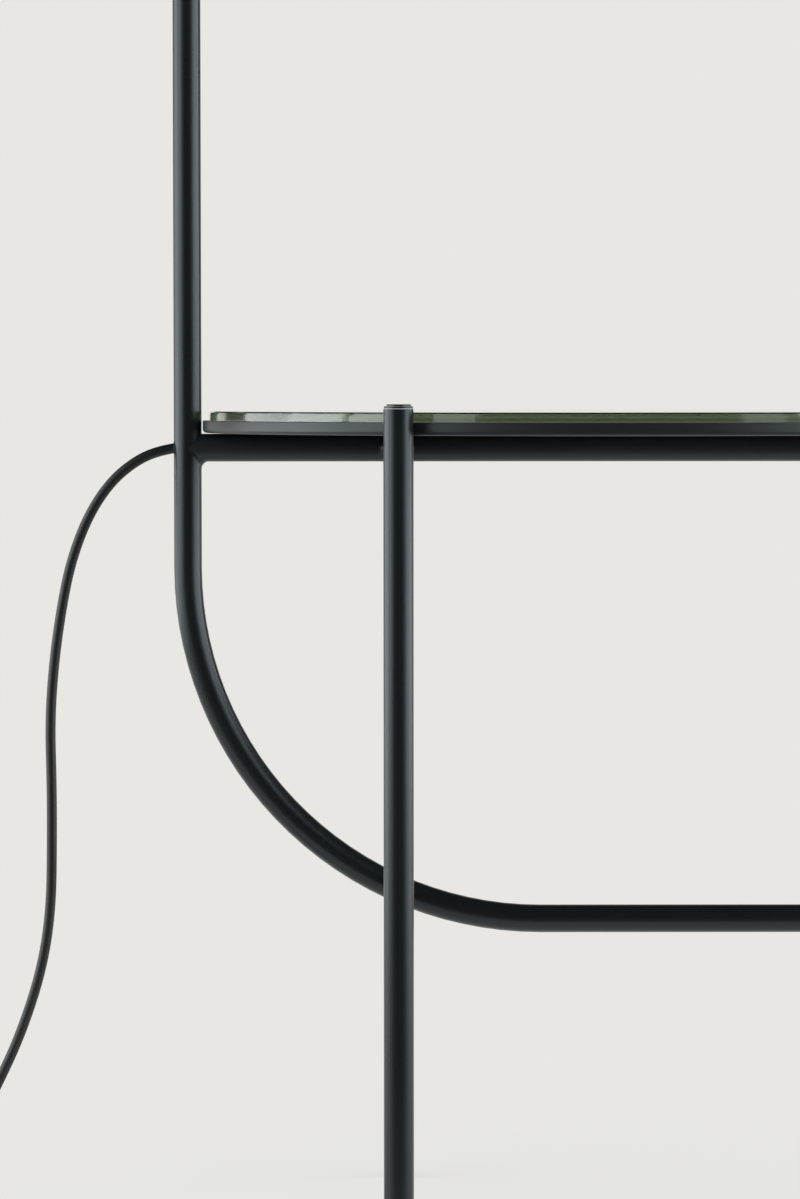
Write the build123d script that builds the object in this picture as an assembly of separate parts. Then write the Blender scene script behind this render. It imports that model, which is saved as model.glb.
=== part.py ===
from build123d import *
import math
import os

# A floor lamp with a round glass table, in black steel tube. Millimetres, +Z up.
# The origin is on the floor under the middle of the table. The mast stands at -X and the
# front leg at -Y. Seen from the front, the mast bends at its foot into a low rail.

# Steel tube, one size for the whole frame
tube_diameter = 18.0
tube_wall = 1.5
bend_radius = 228.5
low_rail_height = 210.5
weld_gap = 0.05
weld_leg = 1.8
weld_side_rise = 0.4
insert_clearance = 0.05

# Glass table top and its tray
glass_top_height = 540.0
glass_diameter = 518.0
glass_thickness = 8.0
glass_arris = 0.8
glass_above_rim = 5.65
glass_side_clearance = 2.0
tray_sheet = 2.0
tray_depth = 7.8
tray_corner_radius = 3.3
tray_to_tube_clearance = 1.0
bumper_diameter = 12.0
bumper_count = 6
bumper_inset = 54.0
bumper_start_angle = 30.0
spacer_thickness = 0.8
spacer_diameter = 14.0
screw_diameter = 4.0
screw_clearance = 0.25
thread_clearance = 0.05
screw_head_diameter = 7.5
screw_head_height = 2.2
screw_length = 10.0
screw_socket = 2.5
screw_socket_depth = 1.5
screw_edge_radius = 0.55
bar_screw_inset = 83.0
strut_screw_inset = 86.0

# Legs, caps and feet
leg_angles = {"front": 240.0, "rear": 120.0, "side": 0.0}
leg_above_glass = 4.1
cap_thickness = 1.6
cap_edge_radius = 1.0
insert_length = 12.0
foot_thickness = 5.0
foot_edge_radius = 1.5

# Mast, arm and the joint that parts the mast for packing
mast_joint_height = 880.0
mast_joint_chamfer = 0.4
arm_height = 1480.0
spigot_length = 120.0
spigot_wall = 2.0
grub_length = 5.0
grub_offset = 20.0

# Tilting joint of the lamp head
tongue_thickness = 8.0
tongue_reach = 18.0
eye_radius = 8.0
collar_thickness = 3.0
arm_plug_length = 24.0
pivot_diameter = 6.0
running_clearance = 0.05
washer_thickness = 0.8
washer_diameter = 14.0
washer_clearance = 0.03
fork_length = 40.0
fork_slot_depth = 16.0
fork_flat = 7.8
pivot_head_diameter = 11.0
pivot_head_height = 3.2
pivot_head_edge_radius = 0.8
pivot_socket_width = 4.0
pivot_socket_depth = 2.2
pivot_nut_width = 10.0
pivot_nut_height = 5.0
pivot_bolt_past_nut = 0.5
wire_way_diameter = 5.2

# Lamp head
cup_diameter = 48.0
cup_wall = 1.5
cup_length = 55.0
cup_top_thickness = 3.0
cup_top_radius = 4.0
nipple_diameter = 10.0
nipple_bore = 7.0
nipple_insert = 11.5
stem_nut_width = 17.0
stem_nut_height = 4.0
shade_diameter = 240.0
shade_sheet = 1.2
shade_skirt = 19.0
holder_diameter = 39.0
holder_length = 47.0
holder_flange_diameter = 44.0
holder_flange_thickness = 3.0
holder_skirt_length = 20.0
holder_bore = 28.4
holder_floor_thickness = 12.0
holder_nipple_depth = 4.0
shade_ring_diameter = 47.0
shade_ring_height = 5.8
socket_shell_wall = 0.5
socket_shell_length = 27.0
contact_diameter = 8.0
contact_thickness = 2.0

# Light bulb
bulb_cap_diameter = 26.2
bulb_cap_length = 22.5
bulb_tip_diameter = 9.0
bulb_tip_length = 2.5
bulb_neck_length = 10.0
bulb_body_length = 35.0
bulb_diameter = 60.0
bulb_globe_length = 40.0

# Dimmer on the lamp head
dimmer_drop = 17.0
dimmer_body_diameter = 14.0
dimmer_body_length = 12.0
dimmer_body_gap = 1.5
dimmer_bush_diameter = 8.0
dimmer_bush_reach = 3.0
dimmer_nut_width = 12.0
dimmer_nut_height = 2.0
dimmer_shaft_diameter = 6.0
dimmer_shaft_depth = 9.0
knob_diameter = 18.0
knob_length = 11.5
knob_gap = 1.5
knob_bore_depth = 9.0
knob_edge_radius = 1.2
knob_mark_width = 1.2
knob_mark_depth = 0.5
knob_mark_angle = 135.0

# Mains lead
cord_diameter = 6.5
cord_arc_share = 0.45
grommet_diameter = 9.5
grommet_bore = 7.4
grommet_length = 3.7
grommet_proud = 0.4
cable_diameter = 4.8
cable_turn_radius = 5.0
cable_gap = 0.4
cord_floor_gap = 1.0
coil_pitch = 7.2
coil_rise = 7.2
coil_outer_radius = 45.0
coil_half_turns = 5
coil_draw_in = 2.6
tie_width = 10.0
tie_thickness = 0.8
tie_clearance = 1.1
plug_width = 35.3
plug_thickness = 13.7
plug_body_length = 26.0
plug_taper_length = 12.0
plug_tail_width = 17.0
plug_relief_length = 20.0
plug_relief_end_diameter = 8.6
plug_relief_root_diameter = 12.0
plug_corner_radius = 2.5
pin_diameter = 4.0
pin_length = 19.0
pin_spacing = 18.6
pin_edge_radius = 1.0

# The lead's route from the mast to its coil, chosen by hand
cord_route = [
    (-279.0, 0.0, 516.9),
    (-292.6, 0.0, 515.2),
    (-308.5, 0.0, 507.7),
    (-324.0, 0.0, 493.5),
    (-338.0, 0.0, 472.0),
    (-349.0, 0.0, 443.0),
    (-355.5, 0.0, 411.0),
    (-360.5, 0.0, 375.0),
    (-363.0, 0.0, 338.0),
    (-362.0, 0.0, 299.0),
    (-362.0, 0.0, 261.0),
    (-362.7, 0.0, 218.0),
    (-368.5, 0.0, 179.0),
    (-381.8, 0.0, 137.5),
    (-398.0, 0.0, 102.0),
    (-416.0, -3.0, 68.0),
    (-430.0, -11.0, 40.0),
    (-441.0, -29.0, 15.0),
    (-446.0, -52.0, 4.25),
    (-446.0, -72.0, 4.25),
]
# The lead's route from the coil to the plug, chosen by hand
tail_route = [
    (-356.0, -72.0, 11.45),
    (-356.0, -61.0, 11.45),
    (-356.4, -48.0, 9.3),
    (-357.0, -35.0, 6.9),
    (-357.0, -25.0, 6.9),
]

# Sizes that follow from those above
tube_radius = tube_diameter / 2
tube_bore_radius = tube_radius - tube_wall
insert_radius = tube_bore_radius - insert_clearance
glass_radius = glass_diameter / 2
glass_bottom = glass_top_height - glass_thickness
tray_inner_radius = glass_radius + glass_side_clearance
tray_radius = tray_inner_radius + tray_sheet
tray_rim = glass_top_height - glass_above_rim
tray_bottom = tray_rim - tray_depth
tray_floor = tray_bottom + tray_sheet
bar_height = tray_bottom - spacer_thickness - tube_radius
leg_circle = tray_radius + tray_to_tube_clearance + tube_radius
leg_top = glass_top_height + leg_above_glass
mast_x = -leg_circle
bend_x = mast_x + bend_radius
low_bend_height = low_rail_height + bend_radius
arm_bend_radius = -mast_x - tongue_reach - arm_plug_length
arm_bend_x = mast_x + arm_bend_radius
high_bend_height = arm_height - arm_bend_radius
leg_places = {
    name: (leg_circle * math.cos(math.radians(angle)), leg_circle * math.sin(math.radians(angle)))
    for name, angle in leg_angles.items()
}
strut_x = leg_places["front"][0]
low_strut_height = low_bend_height - math.sqrt(bend_radius**2 - (strut_x - bend_x) ** 2)
cup_top = arm_height - fork_length
shade_top = cup_top - cup_length
screw_places = [
    (mast_x + bar_screw_inset, 0.0),
    (leg_circle - bar_screw_inset, 0.0),
    (strut_x, leg_places["front"][1] + strut_screw_inset),
    (strut_x, leg_places["rear"][1] - strut_screw_inset),
]


def rod(start, end, radius):
    """A solid round rod from one point to another."""
    run = Vector(*end) - Vector(*start)
    return extrude(Plane(origin=start, z_dir=run) * Circle(radius), run.length)


def pipe(start, end, outer_radius, inner_radius):
    """A round pipe from one point to another."""
    return rod(start, end, outer_radius) - rod(start, end, inner_radius)


def slab(low, high):
    """A box between its lowest and highest corners."""
    size = [b - a for a, b in zip(low, high)]
    middle = [(a + b) / 2 for a, b in zip(low, high)]
    return Pos(*middle) * Box(*size)


def turned(outline):
    """A solid turned about the table's axis from an outline in (radius, height)."""
    return revolve(Plane.XZ * make_face(outline), Axis.Z)


def turned_polygon(points):
    """A turned solid whose outline has straight sides only."""
    return turned(Polyline(*points, close=True))


def hexagon(origin, direction, width, height):
    """A hexagonal block of that width across its flats."""
    plane = Plane(origin=origin, z_dir=direction)
    return extrude(plane * RegularPolygon(width / 2, 6, major_radius=False), height)


def swept(path, radius):
    """A round bar along a path."""
    return sweep(Plane(origin=path @ 0, z_dir=path % 0) * Circle(radius), path=path)


def one_solid(shape):
    """The single solid of a shape that has been cut."""
    return shape.solids().sort_by(SortBy.VOLUME)[-1]


parts = {}

# Mast. The lower tube stands at the left of the table, bends at its foot and runs to the side leg
# as a low rail. The upper tube bends over the table as the arm.
def mast_path(first_run, second_run, bend_middle):
    """A centreline of a straight run, a quarter bend and another straight run."""
    bend = ThreePointArc(first_run[1], bend_middle, second_run[0])
    return Wire([Line(*first_run), bend, Line(*second_run)])


low_half_bend = bend_radius / math.sqrt(2)
high_half_bend = arm_bend_radius / math.sqrt(2)
low_path = mast_path(
    ((mast_x, 0, mast_joint_height), (mast_x, 0, low_bend_height)),
    ((bend_x, 0, low_rail_height), (leg_circle, 0, low_rail_height)),
    (bend_x - low_half_bend, 0, low_bend_height - low_half_bend),
)
high_path = mast_path(
    ((mast_x, 0, mast_joint_height), (mast_x, 0, high_bend_height)),
    ((arm_bend_x, 0, arm_height), (-tongue_reach, 0, arm_height)),
    (arm_bend_x - high_half_bend, 0, high_bend_height + high_half_bend),
)
cord_exit_height = bar_height
grub_height = mast_joint_height + grub_offset
leg_rods = {
    name: rod((x, y, foot_thickness), (x, y, leg_top - cap_thickness), tube_radius)
    for name, (x, y) in leg_places.items()
}
leg_cutters = {
    name: rod((x, y, foot_thickness), (x, y, leg_top), tube_radius + weld_gap)
    for name, (x, y) in leg_places.items()
}
cord_hole = rod(
    (mast_x, 0, cord_exit_height),
    (mast_x - tube_diameter, 0, cord_exit_height),
    grommet_diameter / 2,
)
grub_hole = rod(
    (mast_x, 0, grub_height),
    (mast_x, tube_diameter, grub_height),
    screw_diameter / 2 + thread_clearance,
)
joint_groove = Pos(mast_x, 0, mast_joint_height) * turned_polygon(
    [
        (tube_radius - mast_joint_chamfer, 0),
        (tube_radius + mast_joint_chamfer, -2 * mast_joint_chamfer),
        (tube_radius + mast_joint_chamfer, 2 * mast_joint_chamfer),
    ]
)
low_rod = swept(low_path, tube_radius)
mast_lower = low_rod - swept(low_path, tube_bore_radius) - cord_hole - leg_cutters["side"]
parts["mast_lower_tube"] = one_solid(mast_lower - joint_groove)
mast_upper = swept(high_path, tube_radius) - swept(high_path, tube_bore_radius) - grub_hole
parts["mast_upper_tube"] = one_solid(mast_upper - joint_groove)

# Spigot inside the mast's joint, held in the upper tube by a grub screw at the back
spigot = pipe(
    (mast_x, 0, mast_joint_height - spigot_length / 2),
    (mast_x, 0, mast_joint_height + spigot_length / 2),
    insert_radius,
    insert_radius - spigot_wall,
)
parts["mast_spigot"] = one_solid(spigot - grub_hole)
grub_end = tube_radius - thread_clearance
grub = rod(
    (mast_x, grub_end - grub_length, grub_height), (mast_x, grub_end, grub_height), screw_diameter / 2
)
grub_socket = hexagon((mast_x, grub_end, grub_height), (0, -1, 0), screw_socket, grub_length / 2)
parts["spigot_grub_screw"] = grub - grub_socket

# Table bar from the mast to the side leg, and the cross tubes from it and the low rail to the left legs
bar_ends = ((mast_x, 0, bar_height), (leg_circle, 0, bar_height))
bar_rod = rod(*bar_ends, tube_radius)
mast_ends = ((mast_x, 0, low_bend_height), (mast_x, 0, mast_joint_height))
mast_cutter = rod(*mast_ends, tube_radius + weld_gap)
tray_screw_holes = [
    rod((x, y, bar_height), (x, y, tray_bottom), screw_diameter / 2 + thread_clearance)
    for x, y in screw_places
]
table_bar = bar_rod - rod(*bar_ends, tube_bore_radius) - mast_cutter - leg_cutters["side"]
parts["table_bar"] = one_solid(table_bar - tray_screw_holes[:2])

strut_rods = {}
bar_cutter = rod(*bar_ends, tube_radius + weld_gap)
low_cutter = swept(low_path, tube_radius + weld_gap)
for level, height, root_cutter in (
    ("upper", bar_height, bar_cutter),
    ("lower", low_strut_height, low_cutter),
):
    for side in ("front", "rear"):
        ends = ((strut_x, 0, height), (strut_x, leg_places[side][1], height))
        strut_rods[side, level] = rod(*ends, tube_radius)
        strut = strut_rods[side, level] - rod(*ends, tube_bore_radius) - root_cutter - leg_cutters[side]
        if level == "upper":
            strut = strut - tray_screw_holes[2:]
        parts[f"{side}_{level}_strut"] = one_solid(strut)

# Legs, each with a cap pressed into its top and a foot pressed into its bottom
for side, (x, y) in leg_places.items():
    tube_top = leg_top - cap_thickness
    parts[f"{side}_leg"] = pipe((x, y, foot_thickness), (x, y, tube_top), tube_radius, tube_bore_radius)
    cap_head = rod((x, y, tube_top), (x, y, leg_top), tube_radius)
    cap_head = fillet(cap_head.edges().group_by(Axis.Z)[-1], cap_edge_radius)
    cap_plug = rod((x, y, tube_top - insert_length), (x, y, tube_top), insert_radius)
    parts[f"{side}_leg_cap"] = cap_head + cap_plug
    foot_head = rod((x, y, 0), (x, y, foot_thickness), tube_radius)
    foot_head = fillet(foot_head.edges().group_by(Axis.Z)[0], foot_edge_radius)
    foot_plug = rod((x, y, foot_thickness), (x, y, foot_thickness + insert_length), insert_radius)
    parts[f"{side}_foot"] = foot_head + foot_plug


# Weld beads round each joint of two tubes, kept below the tray and nearly flush at the tubes' sides
weld_radius = tube_radius + weld_leg
weld_side = tube_radius + weld_side_rise
reach = 2 * tube_diameter
bead_top = tray_bottom - spacer_thickness - weld_gap


def weld_bead(main, grown_main, branch_ends, side):
    """The ring of weld metal in the corner between a main tube and a branch, on one side of it."""
    branch = rod(*branch_ends, tube_radius + weld_gap)
    grown_branch = rod(*branch_ends, weld_radius + weld_gap)
    corner_metal = (grown_main & side) & (grown_branch & side)
    return one_solid(corner_metal - main - branch)


def grown_leg(side):
    """A leg's outside, larger by the weld's leg length."""
    x, y = leg_places[side]
    return rod((x, y, foot_thickness), (x, y, leg_top), weld_radius)


grown_bar = rod(*bar_ends, weld_radius)
grown_low = swept(low_path, weld_radius)
rail_ends = ((bend_x, 0, low_rail_height), (leg_circle, 0, low_rail_height))
right_of_mast = slab((mast_x, -weld_side, bar_height - reach), (mast_x + reach, weld_side, bead_top))
left_of_leg = slab((leg_circle - reach, -weld_side, bar_height - reach), (leg_circle, weld_side, bead_top))
left_of_leg_low = slab(
    (leg_circle - reach, -weld_side, low_rail_height - reach),
    (leg_circle, weld_side, low_rail_height + reach),
)
bend_slope = math.degrees(math.asin((bend_x - strut_x) / bend_radius))
beads = [
    weld_bead(rod(*mast_ends, tube_radius), rod(*mast_ends, weld_radius), bar_ends, right_of_mast),
    weld_bead(leg_rods["side"], grown_leg("side"), bar_ends, left_of_leg),
    weld_bead(leg_rods["side"], grown_leg("side"), rail_ends, left_of_leg_low),
]
for side in ("front", "rear"):
    leg_y = leg_places[side][1]
    inward = -math.copysign(reach, leg_y)
    for height, slope, top, root, grown_root in (
        (bar_height, 0.0, bead_top, bar_rod, grown_bar),
        (low_strut_height, bend_slope, low_strut_height + reach, low_rod, grown_low),
    ):
        ends = ((strut_x, 0, height), (strut_x, leg_y, height))
        near_leg = slab(
            (strut_x - weld_side, min(leg_y, leg_y + inward), height - reach),
            (strut_x + weld_side, max(leg_y, leg_y + inward), top),
        )
        root_zone = Box(2 * reach, reach, 2 * weld_side)
        near_root = Pos(strut_x, -inward / 2, height) * Rot(0, slope, 0) * root_zone
        beads.append(weld_bead(leg_rods[side], grown_leg(side), ends, near_leg))
        beads.append(weld_bead(root, grown_root, ends, near_root))
parts["weld_beads"] = Compound(children=beads)

# Tray of pressed sheet, on spacers over the tubes, held by screws down into them
bend_inside = tray_corner_radius - tray_sheet
corner = (tray_radius - tray_corner_radius, tray_bottom + tray_corner_radius)
tray_outline = [
    Line((0, tray_bottom), (corner[0], tray_bottom)),
    CenterArc(corner, tray_corner_radius, -90, 90),
    Line((tray_radius, corner[1]), (tray_radius, tray_rim)),
    Line((tray_radius, tray_rim), (tray_inner_radius, tray_rim)),
    Line((tray_inner_radius, tray_rim), (tray_inner_radius, tray_floor + bend_inside)),
    CenterArc((tray_inner_radius - bend_inside, tray_floor + bend_inside), bend_inside, -90, 90),
    Line((tray_inner_radius - bend_inside, tray_floor), (0, tray_floor)),
    Line((0, tray_floor), (0, tray_bottom)),
]
tray = turned(tray_outline)
spacers = []
screws = []
for x, y in screw_places:
    hole_radius = screw_diameter / 2 + screw_clearance
    tray = tray - rod((x, y, tray_bottom), (x, y, tray_floor), hole_radius)
    spacer_ends = ((x, y, tray_bottom - spacer_thickness), (x, y, tray_bottom))
    spacers.append(pipe(*spacer_ends, spacer_diameter / 2, hole_radius))
    head = rod((x, y, tray_floor), (x, y, tray_floor + screw_head_height), screw_head_diameter / 2)
    head = fillet(head.edges().group_by(Axis.Z)[-1], screw_edge_radius)
    socket_start = (x, y, tray_floor + screw_head_height)
    head = head - hexagon(socket_start, (0, 0, -1), screw_socket, screw_socket_depth)
    shank = rod((x, y, tray_floor - screw_length), (x, y, tray_floor), screw_diameter / 2)
    screws.append(head + shank)
parts["tray"] = tray
parts["tray_spacers"] = Compound(children=spacers)
parts["tray_screws"] = Compound(children=screws)

# Glass disc with polished edges, lying loose on soft bumpers
bumpers = []
for index in range(bumper_count):
    angle = math.radians(bumper_start_angle + 360 * index / bumper_count)
    x = (glass_radius - bumper_inset) * math.cos(angle)
    y = (glass_radius - bumper_inset) * math.sin(angle)
    bumpers.append(rod((x, y, tray_floor), (x, y, glass_bottom), bumper_diameter / 2))
parts["glass_bumpers"] = Compound(children=bumpers)
glass = rod((0, 0, glass_bottom), (0, 0, glass_top_height), glass_radius)
parts["glass_top"] = chamfer(glass.edges(), glass_arris)

# Arm end. A turned plug in the tube carries a flat tongue with the eye of the tilting joint.
arm_end = -tongue_reach
plug_end = arm_end - arm_plug_length
collar_end = arm_end + collar_thickness
arm_plug = rod((plug_end, 0, arm_height), (arm_end, 0, arm_height), insert_radius)
arm_plug += rod((arm_end, 0, arm_height), (collar_end, 0, arm_height), tube_radius)
half_tongue = tongue_thickness / 2
arm_plug += slab(
    (collar_end, -half_tongue, arm_height - eye_radius), (0, half_tongue, arm_height + eye_radius)
)
arm_plug += rod((0, -half_tongue, arm_height), (0, half_tongue, arm_height), eye_radius)
arm_plug -= rod(
    (0, -tube_diameter, arm_height),
    (0, tube_diameter, arm_height),
    pivot_diameter / 2 + running_clearance,
)
wire_turn = collar_end + wire_way_diameter / 2
arm_plug -= rod((plug_end, 0, arm_height), (wire_turn, 0, arm_height), wire_way_diameter / 2)
arm_plug -= rod((wire_turn, 0, arm_height), (wire_turn, 0, arm_height - tube_radius), wire_way_diameter / 2)
parts["arm_plug"] = one_solid(arm_plug)

# Fork of the lamp head, with its pivot bolt, nut and friction washers
half_slot = half_tongue + 2 * washer_clearance + washer_thickness
fork_bottom = arm_height - fork_length
fork = rod((0, 0, fork_bottom), (0, 0, arm_height + tube_radius), tube_radius)
fork_ears = rod((0, -tube_radius, arm_height), (0, tube_radius, arm_height), tube_radius)
below_pivot = slab((-tube_radius, -tube_radius, fork_bottom), (tube_radius, tube_radius, arm_height))
fork = fork & (fork_ears + below_pivot)
fork -= slab(
    (-tube_diameter, -half_slot, arm_height - fork_slot_depth),
    (tube_diameter, half_slot, arm_height + tube_diameter),
)
spot_radius = max(pivot_head_diameter / 2, pivot_nut_width / math.sqrt(3)) + insert_clearance
for facing in (-1, 1):
    spot = ((0, facing * fork_flat, arm_height), (0, facing * tube_diameter, arm_height))
    fork -= rod(*spot, spot_radius)
fork -= rod(
    (0, -tube_radius, arm_height),
    (0, tube_radius, arm_height),
    pivot_diameter / 2 + insert_clearance,
)
nipple_top = fork_bottom + nipple_insert
fork -= rod((0, 0, fork_bottom), (0, 0, nipple_top), nipple_diameter / 2 + insert_clearance)
fork -= rod((0, 0, nipple_top), (0, 0, arm_height), wire_way_diameter / 2)
parts["head_fork"] = one_solid(fork)
washers = []
for facing in (-1, 1):
    near = facing * (half_tongue + washer_clearance)
    far = facing * (half_tongue + washer_clearance + washer_thickness)
    ends = ((0, near, arm_height), (0, far, arm_height))
    washers.append(pipe(*ends, washer_diameter / 2, pivot_diameter / 2 + insert_clearance))
parts["pivot_washers"] = Compound(children=washers)
bolt_end = fork_flat + pivot_nut_height + pivot_bolt_past_nut
head_end = -fork_flat - pivot_head_height
pivot_head = rod((0, head_end, arm_height), (0, -fork_flat, arm_height), pivot_head_diameter / 2)
pivot_head = fillet(pivot_head.edges().group_by(Axis.Y)[0], pivot_head_edge_radius)
pivot_socket = hexagon((0, head_end, arm_height), (0, 1, 0), pivot_socket_width, pivot_socket_depth)
pivot_shank = rod((0, -fork_flat, arm_height), (0, bolt_end, arm_height), pivot_diameter / 2)
parts["pivot_bolt"] = pivot_head - pivot_socket + pivot_shank
pivot_nut = hexagon((0, fork_flat, arm_height), (0, 1, 0), pivot_nut_width, pivot_nut_height)
parts["pivot_nut"] = pivot_nut - rod(
    (0, fork_flat, arm_height), (0, bolt_end, arm_height), pivot_diameter / 2 + thread_clearance
)

# Cup over the lamp holder, hung on a hollow nipple with its nut
cup_radius = cup_diameter / 2
dimmer_height = cup_top - dimmer_drop
nipple_hole = rod((0, 0, cup_top - cup_length), (0, 0, cup_top), nipple_diameter / 2 + insert_clearance)
cup = rod((0, 0, shade_top), (0, 0, cup_top), cup_radius)
cup = fillet(cup.edges().group_by(Axis.Z)[-1], cup_top_radius)
cup -= rod((0, 0, shade_top), (0, 0, cup_top - cup_top_thickness), cup_radius - cup_wall)
cup -= nipple_hole
cup -= rod(
    (0, 0, dimmer_height),
    (0, -cup_diameter, dimmer_height),
    dimmer_bush_diameter / 2 + insert_clearance,
)
parts["holder_cup"] = one_solid(cup)
holder_top = shade_top - holder_skirt_length + holder_length
nipple_bottom = holder_top - holder_nipple_depth
parts["head_nipple"] = pipe((0, 0, nipple_bottom), (0, 0, nipple_top), nipple_diameter / 2, nipple_bore / 2)
nut_top = cup_top - cup_top_thickness
stem_nut = hexagon((0, 0, nut_top), (0, 0, -1), stem_nut_width, stem_nut_height)
parts["nipple_nut"] = stem_nut - nipple_hole
parts["head_cable"] = rod((0, 0, nipple_bottom), (0, 0, arm_height - fork_slot_depth), cable_diameter / 2)

# Lamp holder, its brass shell and contact, and the ring that clamps the shade
holder_radius = holder_diameter / 2
skirt_bottom = shade_top - holder_skirt_length
bore_top = holder_top - holder_floor_thickness
holder = turned_polygon(
    [
        (0, skirt_bottom),
        (holder_radius, skirt_bottom),
        (holder_radius, shade_top),
        (holder_flange_diameter / 2, shade_top),
        (holder_flange_diameter / 2, shade_top + holder_flange_thickness),
        (holder_radius, shade_top + holder_flange_thickness),
        (holder_radius, holder_top),
        (0, holder_top),
    ]
)
holder -= rod((0, 0, skirt_bottom), (0, 0, bore_top), holder_bore / 2)
holder -= rod((0, 0, nipple_bottom), (0, 0, holder_top), nipple_diameter / 2 + insert_clearance)
holder -= rod((0, 0, bore_top), (0, 0, nipple_bottom), cable_diameter / 2)
parts["lamp_holder"] = one_solid(holder)
shell_radius = holder_bore / 2 - insert_clearance
shell_top = bore_top - contact_thickness
parts["holder_shell"] = pipe(
    (0, 0, shell_top - socket_shell_length),
    (0, 0, shell_top),
    shell_radius,
    shell_radius - socket_shell_wall,
)
parts["holder_contact"] = rod((0, 0, bore_top - contact_thickness), (0, 0, bore_top), contact_diameter / 2)
ring_top = shade_top - shade_sheet
parts["shade_ring"] = pipe(
    (0, 0, ring_top - shade_ring_height),
    (0, 0, ring_top),
    shade_ring_diameter / 2,
    holder_radius + thread_clearance,
)

# Shade, spun from sheet as a dome with a short upright rim
shade_radius = shade_diameter / 2
dome_radius = shade_radius - cup_radius
dome_base = shade_top - dome_radius
rim = dome_base - shade_skirt
neck = holder_radius + thread_clearance
shade_outline = [
    Line((neck, shade_top), (cup_radius, shade_top)),
    CenterArc((cup_radius, dome_base), dome_radius, 0, 90),
    Line((shade_radius, dome_base), (shade_radius, rim)),
    Line((shade_radius, rim), (shade_radius - shade_sheet, rim)),
    Line((shade_radius - shade_sheet, rim), (shade_radius - shade_sheet, dome_base)),
    CenterArc((cup_radius, dome_base), dome_radius - shade_sheet, 0, 90),
    Line((cup_radius, shade_top - shade_sheet), (neck, shade_top - shade_sheet)),
    Line((neck, shade_top - shade_sheet), (neck, shade_top)),
]
parts["shade"] = turned(shade_outline)

# Light bulb, screwed into the shell until its tip meets the contact
tip = bore_top - contact_thickness
cap_radius = bulb_cap_diameter / 2
cap_top = tip - bulb_tip_length
cap_bottom = cap_top - bulb_cap_length
neck_bottom = cap_bottom - bulb_neck_length
body_bottom = neck_bottom - bulb_body_length
globe_bottom = body_bottom - bulb_globe_length
globe_radius = bulb_diameter / 2
parts["bulb_cap"] = turned_polygon(
    [
        (0, cap_bottom),
        (cap_radius, cap_bottom),
        (cap_radius, cap_top),
        (bulb_tip_diameter / 2, tip),
        (0, tip),
    ]
)
bulb_shoulder = math.sqrt(globe_radius**2 - (bulb_globe_length - globe_radius) ** 2)
parts["bulb_body"] = turned_polygon(
    [
        (0, cap_bottom),
        (cap_radius, cap_bottom),
        (cap_radius, neck_bottom),
        (bulb_shoulder, body_bottom),
        (0, body_bottom),
    ]
)
globe_side = (globe_radius, globe_bottom + globe_radius)
globe_outline = [
    ThreePointArc((0, globe_bottom), globe_side, (bulb_shoulder, body_bottom)),
    Line((bulb_shoulder, body_bottom), (0, body_bottom)),
    Line((0, body_bottom), (0, globe_bottom)),
]
parts["bulb_globe"] = turned(globe_outline)

# Dimmer in the front of the cup, with the knob that turns on its shaft
wall_inside = cup_radius - cup_wall
body_front = wall_inside - dimmer_body_gap
body_back = body_front - dimmer_body_length
bush_end = cup_radius + dimmer_bush_reach
shaft_back = body_front - dimmer_shaft_depth
knob_back = bush_end + knob_gap
knob_front = knob_back + knob_length
shaft_front = knob_back + knob_bore_depth


def dimmer_rod(near, far, diameter):
    """A rod along the dimmer's shaft, between two distances in front of the lamp's axis."""
    return rod((0, -near, dimmer_height), (0, -far, dimmer_height), diameter / 2)


dimmer = dimmer_rod(body_back, body_front, dimmer_body_diameter)
dimmer += dimmer_rod(body_front, bush_end, dimmer_bush_diameter)
dimmer -= dimmer_rod(shaft_back, bush_end, dimmer_shaft_diameter + 2 * running_clearance)
parts["dimmer_body"] = dimmer
nut = hexagon((0, -cup_radius, dimmer_height), (0, -1, 0), dimmer_nut_width, dimmer_nut_height)
nut_bore = dimmer_bush_diameter + 2 * thread_clearance
parts["dimmer_nut"] = nut - dimmer_rod(cup_radius, bush_end, nut_bore)
parts["dimmer_shaft"] = dimmer_rod(shaft_back, shaft_front, dimmer_shaft_diameter)
knob = dimmer_rod(knob_back, knob_front, knob_diameter)
knob = fillet(knob.edges().group_by(Axis.Y)[0], knob_edge_radius)
knob -= dimmer_rod(knob_back, shaft_front, dimmer_shaft_diameter + 2 * insert_clearance)
mark = Pos(knob_diameter / 4, 0, 0) * Box(knob_diameter / 2, 2 * knob_mark_depth, knob_mark_width)
knob -= Pos(0, -knob_front, dimmer_height) * Rot(0, knob_mark_angle, 0) * mark
parts["dimmer_knob"] = one_solid(knob)

# Grommet in the mast, and the cable that runs from the lead up the mast to the arm end
grommet_out = mast_x - tube_radius - grommet_proud
parts["cord_grommet"] = pipe(
    (grommet_out, 0, cord_exit_height),
    (grommet_out + grommet_length, 0, cord_exit_height),
    grommet_diameter / 2 - insert_clearance,
    grommet_bore / 2,
)
cable_start = (cord_route[0][0] + cable_gap, 0, cord_exit_height)
cable_path = FilletPolyline(
    cable_start,
    (mast_x, 0, cord_exit_height),
    (mast_x, 0, arm_height),
    (wire_turn - wire_way_diameter / 2, 0, arm_height),
    radius=[cable_turn_radius, arm_bend_radius],
)
parts["mast_cable"] = swept(cable_path, cable_diameter / 2)


# Mains lead. It hangs from the mast to the floor, lies there in a tied coil and ends in its plug.
def route_radii(points):
    """The largest even arc radius at each corner of a route."""
    radii = []
    for before, point, after in zip(points, points[1:], points[2:]):
        run_in = Vector(*point) - Vector(*before)
        run_out = Vector(*after) - Vector(*point)
        half_turn = math.radians(run_in.get_angle(run_out)) / 2
        shorter_run = min(run_in.length, run_out.length)
        radii.append(cord_arc_share * shorter_run / math.tan(half_turn))
    return radii


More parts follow.
